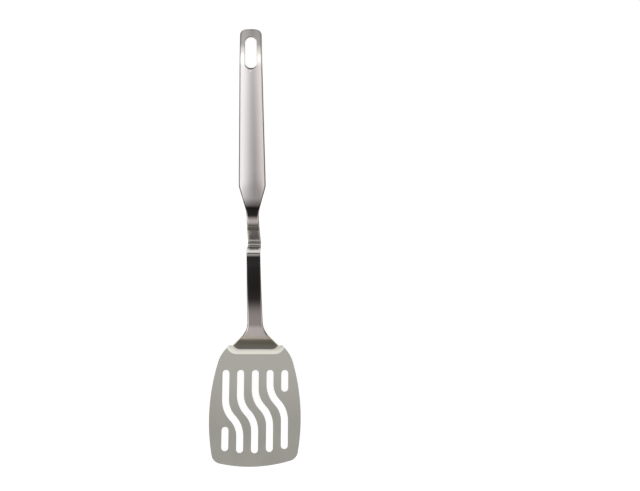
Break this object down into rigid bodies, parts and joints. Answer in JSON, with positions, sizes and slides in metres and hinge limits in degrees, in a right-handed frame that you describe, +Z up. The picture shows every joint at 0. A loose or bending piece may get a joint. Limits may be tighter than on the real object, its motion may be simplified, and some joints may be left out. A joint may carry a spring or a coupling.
{
  "type": "spatula",
  "caption": "Slotted steel kitchen turner: flat grip with a hanging slot, bent neck with a rest hook, and an angled blade with wavy drain slots.",
  "frame": {"origin": "on the table, under the middle of the turner's box, as it lies on its rest hook and handle end", "axes": "+Y to the handle end, +Z up to the food side, +X across the blade"},
  "size_m": [0.0716, 0.3298, 0.055],
  "materials": {
    "polished_bar": "polished",
    "satin_sheet": "satin",
    "weld_metal": "dull"
  },
  "bodies": {
    "root": {"handle_bar": "polished_bar", "blade": "satin_sheet", "spot_weld_left": "weld_metal", "spot_weld_middle": "weld_metal", "spot_weld_right": "weld_metal"}
  },
  "joints": []
}
